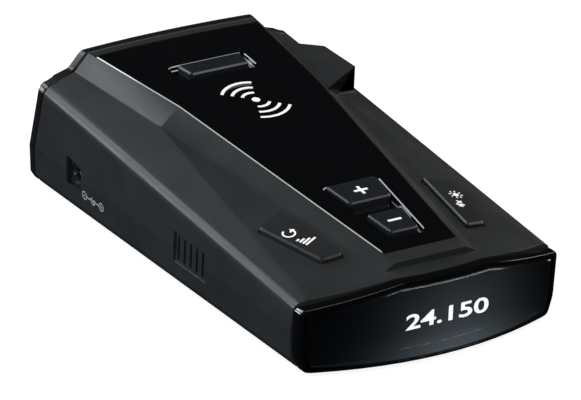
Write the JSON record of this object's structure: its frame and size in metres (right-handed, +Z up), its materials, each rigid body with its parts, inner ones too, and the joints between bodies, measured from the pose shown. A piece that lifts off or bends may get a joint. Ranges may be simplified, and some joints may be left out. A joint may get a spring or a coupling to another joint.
{
  "type": "radar detector",
  "caption": "Wedge-shaped windscreen radar detector with a gloss top panel, curved display face, press keys, bracket slot and DC inlet.",
  "frame": {"origin": "centre of the bounding box at the height of the rubber feet's undersides", "axes": "+Z up, +X to the right of a driver who faces the display, -Y out of the display face, +Y ahead along the road, the way the antenna looks"},
  "size_m": [0.07, 0.1276, 0.0336],
  "materials": {
    "shell": "fine-grained charcoal",
    "gloss": "piano black gloss",
    "rear": "gloss, laser-passing black",
    "key": "satin blue-black",
    "window": "smoked and polished",
    "display": "dark display glass",
    "laser_window": "brown, see-through",
    "board": "green solder mask",
    "black": "moulded black",
    "plunger": "moulded off-white",
    "steel": "bright zinc",
    "cast": "as cast",
    "lens": "polished dark red",
    "rubber": "dull black"
  },
  "bodies": {
    "housing": {"upper_housing": "shell", "lower_housing": "shell", "top_panel": "gloss", "display_bezel": "gloss", "rear_cover": "rear", "display_window": "window", "display_module": "display", "rear_laser_window": "laser_window", "main_board": "board", "display_board": "board", "rear_laser_sensor": "black", "power_switch": "black", "mute_switch": "black", "plus_switch": "black", "minus_switch": "black", "lens_holder": "black", "laser_sensor": "black", "dc_jack": "black", "speaker_frame": "black", "processor": "black", "release_spring": "steel", "rf_shield_can": "steel", "dc_jack_pin": "steel", "dc_jack_sleeve": "steel", "board_screw_left": "steel", "board_screw_right": "steel", "housing_screw_front_left": "steel", "housing_screw_front_right": "steel", "housing_screw_rear_left": "steel", "housing_screw_rear_right": "steel", "horn_antenna": "cast", "speaker_magnet": "cast", "power_capacitor": "cast", "laser_lens": "lens", "speaker_gasket": "rubber", "speaker_cone": "rubber", "foot_front_left": "rubber", "foot_front_right": "rubber", "foot_rear_left": "rubber", "foot_rear_right": "rubber"},
    "power_key": {"power_button": "key", "power_plunger": "plunger"},
    "mute_key": {"mute_button": "key", "mute_plunger": "plunger"},
    "plus_key": {"plus_button": "key", "plus_plunger": "plunger"},
    "minus_key": {"minus_button": "key", "minus_plunger": "plunger"},
    "release_key": {"release_button": "key", "release_latch": "black"}
  },
  "joints": [
    {"name": "power_press", "type": "slide", "parent": "housing", "child": "power_key", "axis": [0, 0, -1], "range_m": [0, 0.0004], "stiffness_N_per_m": 600, "springref_m": -0.0005},
    {"name": "mute_press", "type": "slide", "parent": "housing", "child": "mute_key", "axis": [0, 0, -1], "range_m": [0, 0.0004], "stiffness_N_per_m": 600, "springref_m": -0.0005},
    {"name": "plus_press", "type": "slide", "parent": "housing", "child": "plus_key", "axis": [0, 0, -1], "range_m": [0, 0.0004], "stiffness_N_per_m": 600, "springref_m": -0.0005},
    {"name": "minus_press", "type": "slide", "parent": "housing", "child": "minus_key", "axis": [0, 0, -1], "range_m": [0, 0.0004], "stiffness_N_per_m": 600, "springref_m": -0.0005},
    {"name": "release_press", "type": "slide", "parent": "housing", "child": "release_key", "axis": [0, 0, -1], "range_m": [0, 0.002], "stiffness_N_per_m": 500, "springref_m": -0.001, "deforming": ["release_spring"]}
  ]
}
